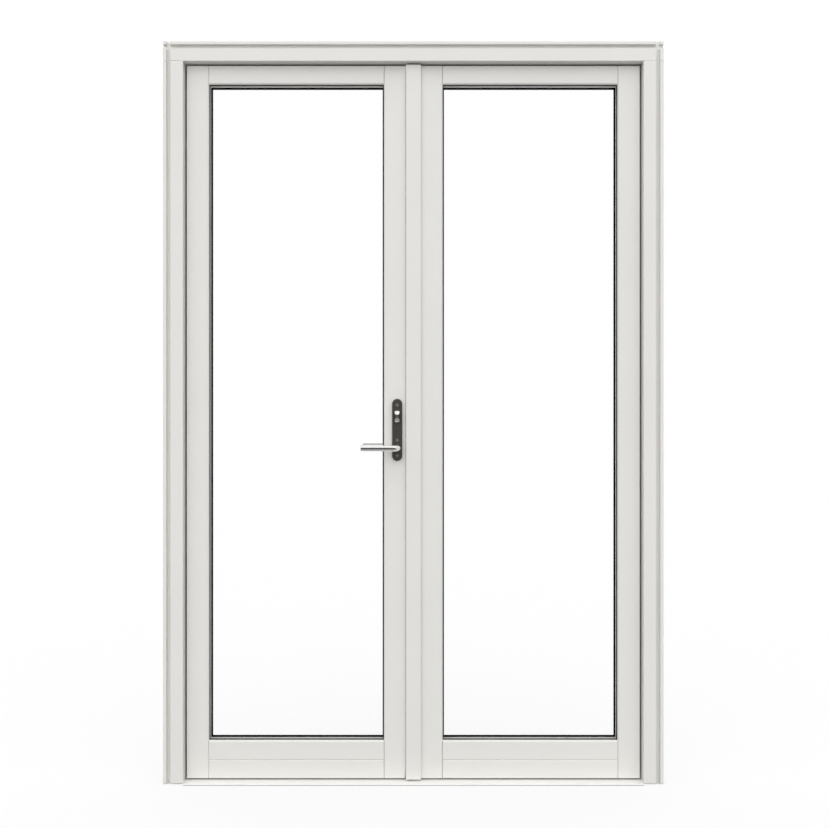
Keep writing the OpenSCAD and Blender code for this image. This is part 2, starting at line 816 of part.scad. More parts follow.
// Cross-recess screws of the back plate.
module handle_screws() {
  color(steel) for (z = screw_zs)
    difference() {
      union() {
        peg(-handle_x, z, yl - plate_t - 0.6, yl - plate_t + screw_seat, screw_d / 2);
        peg(-handle_x, z, yl - plate_t, yl + 14, 1.7);
      }
      translate([-handle_x, yl - plate_t - 0.6, z]) {
        cube([0.8 * screw_d, 1.8, cross_w], center = true);
        cube([cross_w, 1.8, 0.8 * screw_d], center = true);
      }
    }
}

// Round-bar lever bent through a quarter turn, its tip softened.
module lever_bar() {
  r = bar_d / 2;
  color([0.75, 0.76, 0.77]) difference() {
    translate([-handle_x, 0, lever_z]) union() {
      translate([0, bar_y + bend_r, 0]) rotate([-90, 0, 0]) cylinder(r = r, h = yl - 0.3 - bar_y - bend_r);
      translate([-bend_r, bar_y + bend_r, 0]) rotate_extrude(angle = -90) translate([bend_r, 0]) circle(r);
      translate([-bend_r, bar_y, 0]) rotate([0, -90, 0]) {
        cylinder(r = r, h = lever_reach - bend_r - 4);
        translate([0, 0, lever_reach - bend_r - 4]) rotate_extrude() {
          square([r - 4, 4]);
          intersection() {
            translate([r - 4, 0]) circle(4);
            translate([0, 0]) square([r, 4]);
          }
        }
      }
    }
    translate([-handle_x, yl - 10, lever_z]) cube([8.1, 30, 8.1], center = true);
  }
}

module lever_handle() { lever_bar(); }
module outer_lever() { translate([0, yl + ye, 0]) mirror([0, 1, 0]) lever_bar(); }

// Square bar that joins the two levers through the follower.
module spindle() {
  color(steel) block([-handle_x - 4, yl - 24, lever_z - 4], [-handle_x + 4, ye + 24, lever_z + 4]);
}

// Waisted thumb turn with a crowned front, on a round stem that reaches into the lock case.
module thumbturn() {
  w = 13;
  h = 31;
  d = 15;
  corner = 3;
  crown = 26;
  color([0.8, 0.8, 0.8]) difference() {
    union() {
      translate([-handle_x, yl - plate_t - 1, turn_z]) rotate([90, 0, 0]) intersection() {
        linear_extrude(d) difference() {
          union() {
            square([w, h - 2 * corner], center = true);
            square([w - 2 * corner, h], center = true);
            for (x = [-1, 1], z = [-1, 1])
              translate([x * (w / 2 - corner), z * (h / 2 - corner)]) circle(corner);
          }
          for (s = [-1, 1]) translate([s * (w / 2 + 8.5), 0]) circle(12);
        }
        translate([-w, 0, d - crown]) rotate([0, 90, 0]) cylinder(r = crown, h = 2 * w);
      }
      peg(-handle_x, turn_z, yl - plate_t - 2, lock_y - 1, 4.3);
    }
    peg(-handle_x, turn_z, yl - plate_t - d - 2, yl - plate_t - d + 5, 2);
  }
}

head();
left_jamb();
right_jamb();
threshold();
frame_seal();
head_keepers();
frame_sleeves();
left_hinge_frames();
right_hinge_frames();
left_hinge_pins();
right_hinge_pins();
frame_hinge_screws();
active_hinge_stile();
active_lock_stile();
active_top_rail();
active_bottom_rail();
active_kick_board();
active_inner_pane();
active_outer_pane();
active_spacer();
active_inner_gasket();
active_outer_gasket();
active_glazing_beads();
active_setting_blocks();
active_drip_rail();
active_bottom_seal();
active_hinge_leaves();
active_hinge_screws();
passive_hinge_stile();
passive_meeting_stile();
passive_top_rail();
passive_bottom_rail();
passive_kick_board();
passive_inner_pane();
passive_outer_pane();
passive_spacer();
passive_inner_gasket();
passive_outer_gasket();
passive_glazing_beads();
passive_setting_blocks();
passive_drip_rail();
passive_bottom_seal();
passive_hinge_leaves();
passive_hinge_screws();
meeting_post();
meeting_seal();
flush_bolt_plates();
upper_flush_bolt();
lower_flush_bolt();
lock_faceplate();
lock_case();
lock_hub();
upper_rod();
lower_rod();
handle_plate();
handle_screws();
lever_handle();
outer_lever();
spindle();
thumbturn();
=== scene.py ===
"""Finishes a pair of glazed timber doors in their frame, and sets a plain studio round them."""

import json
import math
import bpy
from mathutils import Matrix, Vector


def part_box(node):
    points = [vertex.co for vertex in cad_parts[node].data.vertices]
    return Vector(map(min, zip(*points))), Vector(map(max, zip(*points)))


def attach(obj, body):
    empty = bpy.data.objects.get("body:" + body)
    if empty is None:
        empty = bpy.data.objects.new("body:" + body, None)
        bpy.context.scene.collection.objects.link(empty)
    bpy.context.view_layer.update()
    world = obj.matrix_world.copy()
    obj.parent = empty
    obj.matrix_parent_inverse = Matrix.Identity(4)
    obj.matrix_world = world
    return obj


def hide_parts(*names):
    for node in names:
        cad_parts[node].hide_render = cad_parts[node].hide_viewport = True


bl_info = {
    "name": "French Doors",
    "version": (1, 0, 0),
    "blender": (4, 5, 0),
    "location": "View3D > Sidebar > French Doors",
    "description": "Paint, metal, glass and small parts of a pair of glazed timber doors, with a studio",
    "category": "Object",
}

import bmesh
import bpy
from bpy.props import FloatProperty, FloatVectorProperty, IntProperty, PointerProperty
from mathutils import Vector

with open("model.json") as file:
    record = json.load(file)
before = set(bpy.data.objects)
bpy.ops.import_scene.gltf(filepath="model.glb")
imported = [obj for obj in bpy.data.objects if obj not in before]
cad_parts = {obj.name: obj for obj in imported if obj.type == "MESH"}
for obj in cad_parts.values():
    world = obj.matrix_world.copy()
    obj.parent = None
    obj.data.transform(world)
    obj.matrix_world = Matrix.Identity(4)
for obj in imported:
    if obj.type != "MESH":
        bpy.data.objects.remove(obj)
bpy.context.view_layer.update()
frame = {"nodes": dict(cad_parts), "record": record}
NODES = frame["nodes"]
RECORD = frame["record"]
SLOT_OF = {row["node"]: row["material_slot"] for row in RECORD["subparts"]}
BODY_OF = {node: body for body, nodes in RECORD["behaviour"]["bodies"].items() for node in nodes}

MM = 0.001
PHOTO_PX = 828
SENSOR_MM = 36.0
INDOORS = Vector((0, -1, 0))
OUTDOORS = Vector((0, 1, 0))
LEAVES = ("active", "passive")
CROSSWAYS = ("head", "top_rail", "bottom_rail", "kick_board")

# corners closer than this are one, and faces that turn less than this are one
WELD = 0.005 * MM
FLAT = math.radians(0.2)
# edges that turn more than this are rounded
SHARP = math.radians(50)
# degrees shared out over the steps of a rounding: an edge that turns more than its share keeps its crease
CREASE_DEGREES = 105
# edges of boards and of coated metal that are shorter than this stay sharp
BOARD_EDGE = 14 * MM
COATED_EDGE = 3 * MM
# roundings too small to be a setting
GASKET_ROUND = 0.9 * MM
SEAL_ROUND = 0.6 * MM
MEETING_SEAL_ROUND = 0.5 * MM
BLOCK_ROUND = 0.6 * MM
FINE_ROUND = 0.3 * MM

# height of the spacer's bar, and where its rows of perforations lie across it
SPACER_BAR = 9 * MM
PERFORATION_ROWS = (0.36, 0.64)

# how finely the grain varies along each axis, per metre, by the way it runs
GRAIN = {"x": (6, 260, 260), "z": (260, 260, 6), "round": (180, 180, 180)}
# the span of values that most of a noise falls in
NOISE_LOW = 0.3
NOISE_HIGH = 0.7
BLOCK_SHADES = ((0.05, 0.07, 0.095), (0.065, 0.09, 0.12))
# darkness painted on the perforation dots, for the shade inside the holes
PAINTED_HOLE_SHADES = ((0.015, 0.015, 0.015), (0.025, 0.025, 0.025))
# grey of the meeting seal: partly the rubber's own colour, partly painted shade for the soft shade line
# where the post meets the active leaf
SEAL_GREY_AND_SHADE = (0.45, 0.445, 0.42)

# painted reflections: dark glowing sheets that only reflections see, toned so that the levers mirror dark
# bands;
# by degrees above the level indoors, where 90 is overhead and 180 level outdoors; each angle has how light
# the sheet is there
PAINTED_SWEEP = ((24, 0.03), (-8, 0.03), (-30, 0.31), (-85, 0.24))
PAINTED_ARCH = ((95, 0.32), (130, 0.2), (180, 0.12))


# Properties a user would change


class TimberSettings(bpy.types.PropertyGroup):
    """Paint and rounded edges of the frame and the leaves."""

    colour: FloatVectorProperty(
        name="Paint", description="Colour of the satin paint", subtype="COLOR", size=3,
        default=(0.760, 0.752, 0.722), min=0, max=1,
    )
    arris: FloatProperty(
        name="Arris", description="Radius of the sanded edges", default=0.8 * MM, min=0.2 * MM,
        max=3 * MM, unit="LENGTH",
    )
    grain: FloatProperty(
        name="Grain", description="How strongly the grain shows through the paint", default=0.10,
        min=0, max=1, subtype="FACTOR",
    )
    gloss: FloatProperty(
        name="Roughness", description="Roughness of the satin paint", default=0.42, min=0.05, max=1,
        subtype="FACTOR",
    )


class MetalSettings(bpy.types.PropertyGroup):
    """Finishes of the hinges, the lock and the handle."""

    zinc: FloatVectorProperty(
        name="Zinc", description="Colour of the zinc-plated steel", subtype="COLOR", size=3,
        default=(0.56, 0.57, 0.58), min=0, max=1,
    )
    polish: FloatVectorProperty(
        name="Polish", description="Colour of the polished lever and thumb turn", subtype="COLOR",
        size=3, default=(0.93, 0.93, 0.915), min=0, max=1,
    )
    plate: FloatVectorProperty(
        name="Plate", description="Colour of the charcoal back plate", subtype="COLOR", size=3,
        default=(0.066, 0.063, 0.056), min=0, max=1,
    )
    # the crosses' light colour is a painted highlight in the screw recesses
    painted_glint: FloatVectorProperty(
        name="Painted glint", description="Colour of the crosses in the plate's screws", subtype="COLOR",
        size=3, default=(0.60, 0.59, 0.55), min=0, max=1,
    )
    coat: FloatVectorProperty(
        name="Sill", description="Colour of the coated sill and drip rails", subtype="COLOR", size=3,
        default=(0.92, 0.91, 0.885), min=0, max=1,
    )
    edge: FloatProperty(
        name="Edge", description="Radius of the broken edges on metal", default=0.4 * MM, min=0.05 * MM,
        max=1 * MM, unit="LENGTH",
    )


class GlazingSettings(bpy.types.PropertyGroup):
    """Glass, gaskets and what holds them."""

    glass: FloatVectorProperty(
        name="Glass", description="Tint of the clear glass", subtype="COLOR", size=3,
        default=(0.998, 1.0, 0.999), min=0, max=1,
    )
    index: FloatProperty(
        name="Index", description="Refractive index of the glass", default=1.5, min=1, max=2,
    )
    mirror: FloatProperty(
        name="Mirror", description="How much the glass, with its anti-reflection coat, mirrors",
        default=0.06, min=0, max=1, subtype="FACTOR",
    )
    rubber: FloatVectorProperty(
        name="Rubber", description="Colour of the gaskets and seals", subtype="COLOR", size=3,
        default=(0.003, 0.003, 0.003), min=0, max=1,
    )
    spacer: FloatVectorProperty(
        name="Spacer", description="Colour of the coated spacer bar", subtype="COLOR", size=3,
        default=(0.74, 0.735, 0.705), min=0, max=1,
    )
    perforation_pitch: FloatProperty(
        name="Perforations", description="Pitch of the spacer's perforations", default=12 * MM,
        min=4 * MM, max=40 * MM, unit="LENGTH",
    )
    pin_pitch: FloatProperty(
        name="Bead pins", description="Pitch of the pins in the outside beads", default=230 * MM,
        min=80 * MM, max=500 * MM, unit="LENGTH",
    )


class HandleSettings(bpy.types.PropertyGroup):
    """The lever's bar."""

    sides: IntProperty(
        name="Sides", description="Sides of the lever's round bar", default=48, min=16, max=96,
    )
    bend: FloatProperty(
        name="Bend", description="Radius of the lever's bend, at the bar's centre", default=18 * MM,
        min=10 * MM, max=30 * MM, unit="LENGTH",
    )
    tip: FloatProperty(
        name="Tip", description="Radius of the lever's softened tip", default=3.9 * MM, min=1 * MM,
        max=8 * MM, unit="LENGTH",
    )


class StudioSettings(bpy.types.PropertyGroup):
    """Camera, light and floor."""

    distance: FloatProperty(
        name="Distance", description="Camera's distance from the frame's indoor face", default=3.5,
        min=1, max=10, unit="LENGTH",
    )
    eye: FloatProperty(
        name="Eye level", description="Camera's height", default=1.04, min=0.2, max=2, unit="LENGTH",
    )
    focal_px: FloatProperty(
        name="Focal length", description="Focal length in pixels of the square picture", default=1252,
        min=400, max=4000,
    )
    shift_px: FloatVectorProperty(
        name="Shift", description="Optical centre right of and above the picture's middle, in pixels",
        size=2, default=(-0.7, 1.1),
    )
    overhead: FloatProperty(
        name="Overhead", description="Light from the ceiling, strongest straight above", default=1.4,
        min=0, max=4,
    )
    ahead: FloatProperty(
        name="Ahead", description="Light from the indoor side, strongest straight ahead", default=2.06,
        min=0, max=6,
    )
    ambient: FloatProperty(
        name="Ambient", description="Light from all round", default=0.14, min=0, max=2,
    )
    floor: FloatProperty(
        name="Floor", description="Share of the light that the floor returns", default=0.35,
        min=0, max=1, subtype="FACTOR",
    )


class FrenchDoors(bpy.types.PropertyGroup):
    """All settings of the doors."""

    timber: PointerProperty(type=TimberSettings)
    metal: PointerProperty(type=MetalSettings)
    glazing: PointerProperty(type=GlazingSettings)
    handle: PointerProperty(type=HandleSettings)
    studio: PointerProperty(type=StudioSettings)


# Node helpers


class Shader:
    """A material's node tree, with short calls for the nodes that the finishes share."""

    def __init__(self, name):
        self.material = bpy.data.materials.new(name)
        self.material.use_nodes = True
        self.tree = self.material.node_tree
        self.body = self.tree.nodes["Principled BSDF"]
        self.coords = self.add("ShaderNodeTexCoord").outputs["Object"]

    def add(self, kind, **settings):
        node = self.tree.nodes.new(kind)
        for key, value in settings.items():
            setattr(node, key, value)
        return node

    def link(self, source, target):
        self.tree.links.new(source, target)

    def put(self, **values):
        """Sets the shader's own sockets; an underscore in a name stands for a space."""
        for key, value in values.items():
            socket = self.body.inputs[key.replace("_", " ")]
            socket.default_value = (*value, 1) if hasattr(value, "__len__") else value

    def noise(self, scale, detail=2.0, rough=0.5, distortion=0.0):
        """Noise on the object's own coordinates; scale is one number or one for each axis, per metre."""
        stretch = self.add("ShaderNodeMapping")
        stretch.inputs["Scale"].default_value = scale if hasattr(scale, "__len__") else (scale,) * 3
        self.link(self.coords, stretch.inputs["Vector"])
        node = self.add("ShaderNodeTexNoise")
        node.inputs["Scale"].default_value = 1
        node.inputs["Detail"].default_value = detail
        node.inputs["Roughness"].default_value = rough
        node.inputs["Distortion"].default_value = distortion
        self.link(stretch.outputs["Vector"], node.inputs["Vector"])
        return node.outputs["Fac"]

    def tint(self, mask, dark, light):
        """Colours the base between two shades of the mask."""
        ramp = self.add("ShaderNodeValToRGB")
        ramp.color_ramp.elements[0].position = NOISE_LOW
        ramp.color_ramp.elements[1].position = NOISE_HIGH
        ramp.color_ramp.elements[0].color = (*dark, 1)
        ramp.color_ramp.elements[1].color = (*light, 1)
        self.link(mask, ramp.inputs["Fac"])
        self.link(ramp.outputs["Color"], self.body.inputs["Base Color"])

    def roughness(self, mask, low, high):
        """Lets the roughness vary between two values of the mask."""
        level = self.add("ShaderNodeMapRange")
        level.inputs["From Min"].default_value = NOISE_LOW
        level.inputs["From Max"].default_value = NOISE_HIGH
        level.inputs["To Min"].default_value = low
        level.inputs["To Max"].default_value = high
        self.link(mask, level.inputs["Value"])
        self.link(level.outputs["Result"], self.body.inputs["Roughness"])

    def bump(self, mask, strength, depth, below=None):
        """Raises the surface by the mask, on top of an earlier bump if one is given."""
        node = self.add("ShaderNodeBump")
        node.inputs["Strength"].default_value = strength
        node.inputs["Distance"].default_value = depth
        self.link(mask, node.inputs["Height"])
        if below is not None:
            self.link(below, node.inputs["Normal"])
        self.link(node.outputs["Normal"], self.body.inputs["Normal"])
        return node.outputs["Normal"]


def shade(colour, factor):
    """A colour made darker or lighter by a factor."""
    return tuple(min(1.0, c * factor) for c in colour)


# Finishes


def painted_timber(settings, along):
    """Satin paint over planed timber, with the grain along X, along Z or even all round showing faintly."""
    s = Shader("painted_timber_" + along)
    grain = s.noise(GRAIN[along], detail=5, rough=0.62, distortion=0.4)
    clouds = s.noise(3.1, detail=3)
    s.tint(clouds, shade(settings.colour, 0.985), shade(settings.colour, 1.012))
    s.roughness(s.noise(45, detail=3), settings.gloss - 0.05, settings.gloss + 0.05)
    peel = s.bump(s.noise(900, detail=1), 0.05, 0.2 * MM)
    s.bump(grain, settings.grain, 0.5 * MM, below=peel)
    s.put(Specular_IOR_Level=0.4)
    return s.material


def coated_aluminium(settings):
    """Off-white powder coat with its fine orange peel."""
    s = Shader("coated_aluminium")
    s.tint(s.noise(5, detail=3), shade(settings.coat, 0.975), shade(settings.coat, 1.01))
    s.roughness(s.noise(60, detail=2), 0.34, 0.46)
    s.bump(s.noise(1300, detail=2), 0.12, 0.15 * MM)
    return s.material


def coated_spacer(settings):
    """Matt coated spacer bar with faint rolling marks along it."""
    s = Shader("coated_spacer")
    s.tint(s.noise((40, 900, 40), detail=3), shade(settings.spacer, 0.97), shade(settings.spacer, 1.03))
    s.roughness(s.noise(30), 0.45, 0.58)
    s.bump(s.noise((60, 1400, 60), detail=2), 0.06, 0.1 * MM)
    s.put(Specular_IOR_Level=0.3)
    return s.material


def zinc_steel(settings):
    """Zinc plating with its faint spangle and handling marks."""
    s = Shader("zinc_steel")
    s.tint(s.noise(120, detail=4, rough=0.6), shade(settings.zinc, 0.86), shade(settings.zinc, 1.08))
    s.roughness(s.noise(70, detail=3), 0.24, 0.4)
    s.bump(s.noise((400, 400, 1500), detail=2), 0.05, 0.1 * MM)
    s.put(Metallic=1.0)
    return s.material


def polished_steel(settings):
    """Polished bar with hairlines left by the last mop."""
    s = Shader("polished_steel")
    s.tint(s.noise(90, detail=3), shade(settings.polish, 0.97), shade(settings.polish, 1.02))
    s.roughness(s.noise((60, 900, 900), detail=3), 0.10, 0.17)
    s.bump(s.noise((90, 2600, 2600), detail=2), 0.03, 0.05 * MM)
    s.put(Metallic=1.0)
    return s.material


def painted_glint_steel(settings):
    """A light steel tone for the screw crosses: a painted highlight in the recesses."""
    s = Shader("painted_glint_steel")
    s.tint(s.noise(400, detail=3), shade(settings.painted_glint, 0.85), shade(settings.painted_glint, 1.15))
    s.roughness(s.noise(300, detail=2), 0.5, 0.64)
    s.bump(s.noise(1600, detail=2), 0.08, 0.05 * MM)
    s.put(Metallic=0.1)
    return s.material


def charcoal_plate(settings):
    """Satin charcoal coating with a fine tooth."""
    s = Shader("charcoal_plate")
    s.tint(s.noise(160, detail=3), shade(settings.plate, 0.93), shade(settings.plate, 1.07))
    s.roughness(s.noise(220, detail=2), 0.40, 0.52)
    s.bump(s.noise(2400, detail=1), 0.10, 0.08 * MM)
    s.put(Metallic=0.25)
    return s.material


def extruded_rubber(name, colour):
    """Extruded rubber with a dull skin."""
    s = Shader(name)
    s.tint(s.noise(80, detail=3), shade(colour, 0.85), shade(colour, 1.15))
    s.roughness(s.noise(130, detail=2), 0.52, 0.68)
    s.bump(s.noise(1800, detail=1), 0.10, 0.1 * MM)
    s.put(Specular_IOR_Level=0.12)
    return s.material


def clear_glass(settings):
    """Clear float glass; its tint shows only along the edges."""
    s = Shader("clear_glass")
    s.put(Base_Color=settings.glass, Roughness=0.0, IOR=settings.index, Transmission_Weight=1.0)
    s.put(Specular_Tint=(settings.mirror,) * 3)
    s.material.use_raytrace_refraction = True
    return s.material


def moulded_blocks():
    """Moulded setting blocks."""
    s = Shader("moulded_blocks")
    s.tint(s.noise(150, detail=2), *BLOCK_SHADES)
    s.roughness(s.noise(90), 0.48, 0.6)
    s.bump(s.noise(1500, detail=1), 0.1, 0.1 * MM)
    return s.material


def painted_hole_shade():
    """Painted shade for the perforations: flat dark dots stand for the shade inside the holes."""
    s = Shader("painted_hole_shade")
    s.tint(s.noise(700), *PAINTED_HOLE_SHADES)
    s.put(Roughness=0.9)
    return s.material


FINISHES = {}


def finish(name, make, *args):
    """One material for each name, made at its first use."""
    if name not in FINISHES:
        FINISHES[name] = make(*args)
    return FINISHES[name]


# Meshes


def in_scene(name, data):
    """A new object for the data, linked to the scene."""
    obj = bpy.data.objects.new(name, data)
    bpy.context.scene.collection.objects.link(obj)
    return obj


def new_piece(name, mesh, node=None, body=None, material=None):
    """Links a mesh as a piece that rides on a body, and stands for a node if one is given."""
    piece = in_scene(name, mesh)
    if material is not None:
        mesh.materials.clear()
        mesh.materials.append(material)
    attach(piece, body or BODY_OF[node])
    if node is not None:
        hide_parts(node)


def settled(obj):
    """The object's evaluated mesh, with every modifier in it; the object itself is removed."""
    depsgraph = bpy.context.evaluated_depsgraph_get()
    mesh = bpy.data.meshes.new_from_object(obj.evaluated_get(depsgraph), depsgraph=depsgraph)
    data = obj.data
    bpy.data.objects.remove(obj)
    if isinstance(data, bpy.types.Curve):
        bpy.data.curves.remove(data)
    else:
        bpy.data.meshes.remove(data)
    return mesh


def weighted(node, radius, shortest):
    """A clean copy of a node's mesh, with a bevel weight on each sharp outer edge that has room for it."""
    mesh = NODES[node].data.copy()
    work = bmesh.new()
    work.from_mesh(mesh)
    bmesh.ops.remove_doubles(work, verts=work.verts, dist=WELD)
    bmesh.ops.dissolve_degenerate(work, edges=work.edges, dist=WELD)
    bmesh.ops.dissolve_limit(work, angle_limit=FLAT, verts=work.verts, edges=work.edges)
    weight = work.edges.layers.float.new("bevel_weight_edge")
    for edge in work.edges:
        if len(edge.link_faces) != 2 or not edge.is_convex:
            continue
        length = edge.calc_length()
        # a strip narrower than the rounding stays as it is
        roomy = all(face.calc_area() > radius * length for face in edge.link_faces)
        if roomy and length > shortest and edge.calc_face_angle(0.0) > SHARP:
            edge[weight] = 1.0
    for face in work.faces:
        face.smooth = True
    work.to_mesh(mesh)
    work.free()
    return mesh


def crease(mesh, steps):
    """Marks each edge that turns more than one step of a rounding as a crease."""
    work = bmesh.new()
    work.from_mesh(mesh)
    for edge in work.edges:
        edge.smooth = edge.calc_face_angle(0.0) < math.radians(CREASE_DEGREES / steps)
    work.to_mesh(mesh)
    work.free()


def soften(node, radius, material, steps=3, shortest=0.0):
    """Puts a copy of a node whose sharp outer edges are rounded in the node's place."""
    rough = in_scene(node + "_rough", weighted(node, radius, shortest))
    bevel = rough.modifiers.new("arris", "BEVEL")
    bevel.limit_method = "WEIGHT"
    bevel.width = radius
    bevel.segments = steps
    bevel.use_clamp_overlap = False
    bevel.loop_slide = False
    rounded = settled(rough)
    crease(rounded, steps)
    creased = in_scene(node + "_creased", rounded)
    even = creased.modifiers.new("even", "WEIGHTED_NORMAL")
    even.keep_sharp = True
    new_piece("finished_" + node, settled(creased), node=node, material=material)


def dress(node, material):
    """Gives a node's own object a finish."""
    piece = NODES[node]
    if not piece.material_slots:
        piece.data.materials.append(material)
    for slot in piece.material_slots:
        slot.link = "OBJECT"
        slot.material = material
    return piece


# Geometry node trees


class Tree:
    """A geometry node tree with named inputs."""

    def __init__(self, name):
        self.group = bpy.data.node_groups.new(name, "GeometryNodeTree")
        self.group.interface.new_socket("Geometry", in_out="INPUT", socket_type="NodeSocketGeometry")
        self.group.interface.new_socket("Geometry", in_out="OUTPUT", socket_type="NodeSocketGeometry")
        self.keys = {}

    def size(self, name, default, kind="NodeSocketFloat"):
        socket = self.group.interface.new_socket(name, in_out="INPUT", socket_type=kind)
        if default is not None:
            socket.default_value = default
        self.keys[name] = socket.identifier

    def open(self):
        """Adds the input and output nodes once every input is named."""
        self.source = self.add("NodeGroupInput")
        self.sink = self.add("NodeGroupOutput")

    def add(self, kind, **settings):
        node = self.group.nodes.new(kind)
        for key, value in settings.items():
            setattr(node, key, value)
        return node

    def link(self, source, target):
        self.group.links.new(source, target)

    def feed(self, name, target):
        self.link(self.source.outputs[name], target)

    def times(self, name, factor):
        """A named input multiplied by a number."""
        node = self.add("ShaderNodeMath", operation="MULTIPLY")
        node.inputs[1].default_value = factor
        self.feed(name, node.inputs[0])
        return node.outputs["Value"]

    def close(self, geometry):
        """Realizes the instances, sets the material and ends the tree."""
        real = self.add("GeometryNodeRealizeInstances")
        coat = self.add("GeometryNodeSetMaterial")
        self.link(geometry, real.inputs["Geometry"])
        self.link(real.outputs["Geometry"], coat.inputs["Geometry"])
        self.feed("Material", coat.inputs["Material"])
        self.link(coat.outputs["Geometry"], self.sink.inputs["Geometry"])


def spread(tree, instance):
    """Instances on the points of the incoming mesh, each turned to its own facing."""
    facing = tree.add("GeometryNodeInputNamedAttribute", data_type="FLOAT_VECTOR")
    facing.inputs["Name"].default_value = "facing"
    turn = tree.add("FunctionNodeAlignRotationToVector", axis="Z")
    tree.link(facing.outputs["Attribute"], turn.inputs["Vector"])
    place = tree.add("GeometryNodeInstanceOnPoints")
    tree.feed("Geometry", place.inputs["Points"])
    tree.link(instance, place.inputs["Instance"])
    tree.link(turn.outputs["Rotation"], place.inputs["Rotation"])
    return place.outputs["Instances"]


def lowered(tree, geometry, height, share=0.5):
    """The geometry moved down its own Z by a share of a named height."""
    vector = tree.add("ShaderNodeCombineXYZ")
    tree.link(tree.times(height, -share), vector.inputs["Z"])
    move = tree.add("GeometryNodeTransform")
    tree.link(geometry, move.inputs["Geometry"])
    tree.link(vector.outputs["Vector"], move.inputs["Translation"])
    return move.outputs["Geometry"]


def crossed(tree, length, width, height):
    """Two bars across each other, of a named length and width, with a socket for their height."""
    bars = []
    for along, across in (("X", "Y"), ("Y", "X")):
        bar = tree.add("GeometryNodeMeshCube")
        size = tree.add("ShaderNodeCombineXYZ")
        tree.feed(length, size.inputs[along])
        tree.feed(width, size.inputs[across])
        tree.link(height, size.inputs["Z"])
        tree.link(size.outputs["Vector"], bar.inputs["Size"])
        bars.append(bar.outputs["Mesh"])
    return bars


def screw_tree():
    """Cross-recess screws on points: a coned head, its recess and its shank."""
    tree = Tree("cross_recess_screws")
    tree.size("Head Radius", 4 * MM)
    tree.size("Neck Radius", 2 * MM)
    tree.size("Head Height", 2.4 * MM)
    tree.size("Shank Radius", 2 * MM)
    tree.size("Shank Length", 28 * MM)
    tree.size("Slot Length", 4.6 * MM)
    tree.size("Slot Width", 1.1 * MM)
    tree.size("Slot Depth", 1.6 * MM)
    tree.size("Material", None, "NodeSocketMaterial")
    tree.open()
    head = tree.add("GeometryNodeMeshCone")
    head.inputs["Vertices"].default_value = 24
    tree.feed("Head Radius", head.inputs["Radius Top"])
    tree.feed("Neck Radius", head.inputs["Radius Bottom"])
    tree.feed("Head Height", head.inputs["Depth"])
    recess = tree.add("GeometryNodeMeshBoolean", operation="DIFFERENCE", solver="EXACT")
    tree.link(lowered(tree, head.outputs["Mesh"], "Head Height", 1), recess.inputs["Mesh 1"])
    for bar in crossed(tree, "Slot Length", "Slot Width", tree.times("Slot Depth", 2)):
        tree.link(bar, recess.inputs["Mesh 2"])
    shank = tree.add("GeometryNodeMeshCylinder")
    shank.inputs["Vertices"].default_value = 12
    tree.feed("Shank Radius", shank.inputs["Radius"])
    tree.feed("Shank Length", shank.inputs["Depth"])
    both = tree.add("GeometryNodeJoinGeometry")
    tree.link(recess.outputs["Mesh"], both.inputs["Geometry"])
    tree.link(lowered(tree, shank.outputs["Mesh"], "Shank Length"), both.inputs["Geometry"])
    tree.close(spread(tree, both.outputs["Geometry"]))
    return tree


def dot_tree():
    """Low round dots on points, for pin heads and perforations."""
    tree = Tree("round_dots")
    tree.size("Radius", 1 * MM)
    tree.size("Height", 0.2 * MM)
    tree.size("Sides", 12, "NodeSocketInt")
    tree.size("Material", None, "NodeSocketMaterial")
    tree.open()
    dot = tree.add("GeometryNodeMeshCylinder")
    tree.feed("Sides", dot.inputs["Vertices"])
    tree.feed("Radius", dot.inputs["Radius"])
    tree.feed("Height", dot.inputs["Depth"])
    tree.close(spread(tree, dot.outputs["Mesh"]))
    return tree


def cross_tree():
    """Two crossed bars on points, their tops level with the point."""
    tree = Tree("crossed_bars")
    tree.size("Length", 6 * MM)
    tree.size("Width", 1 * MM)
    tree.size("Height", 0.5 * MM)
    tree.size("Material", None, "NodeSocketMaterial")
    tree.open()
    both = tree.add("GeometryNodeJoinGeometry")
    for bar in crossed(tree, "Length", "Width", tree.source.outputs["Height"]):
        tree.link(lowered(tree, bar, "Height"), both.inputs["Geometry"])
    tree.close(spread(tree, both.outputs["Geometry"]))
    return tree


def bar_tree():
    """A round bar that follows a bent path."""
    tree = Tree("bent_bar")
    tree.size("Radius", 9 * MM)
    tree.size("Bend", 18 * MM)
    tree.size("Sides", 48, "NodeSocketInt")
    tree.size("Material", None, "NodeSocketMaterial")
    tree.open()
    fillet = tree.add("GeometryNodeFilletCurve", mode="POLY")
    fillet.inputs["Count"].default_value = 24
    tree.feed("Geometry", fillet.inputs["Curve"])
    tree.feed("Bend", fillet.inputs["Radius"])
    ring = tree.add("GeometryNodeCurvePrimitiveCircle")
    tree.feed("Sides", ring.inputs["Resolution"])
    tree.feed("Radius", ring.inputs["Radius"])
    sweep = tree.add("GeometryNodeCurveToMesh")
    sweep.inputs["Fill Caps"].default_value = True
    tree.link(fillet.outputs["Curve"], sweep.inputs["Curve"])
    tree.link(ring.outputs["Curve"], sweep.inputs["Profile Curve"])
    tree.close(sweep.outputs["Mesh"])
    return tree


TREES = {}


def grow(name, data, make, material, **sizes):
    """Runs a tree, made at its first use, on a mesh or curve, and returns the plain mesh."""
    if make not in TREES:
        TREES[make] = make()
    tree = TREES[make]
    holder = in_scene(name, data)
    modifier = holder.modifiers.new(name, "NODES")
    modifier.node_group = tree.group
    modifier[tree.keys["Material"]] = material
    for key, value in sizes.items():
        modifier[tree.keys[key.replace("_", " ")]] = value
    return settled(holder)


def points(name, places):
    """A mesh of points, each with the way it faces."""
    mesh = bpy.data.meshes.new(name)
    mesh.from_pydata([tuple(place) for place, facing in places], [], [])
    facings = mesh.attributes.new("facing", "FLOAT_VECTOR", "POINT")
    facings.data.foreach_set("vector", [c for place, facing in places for c in facing])
    return mesh


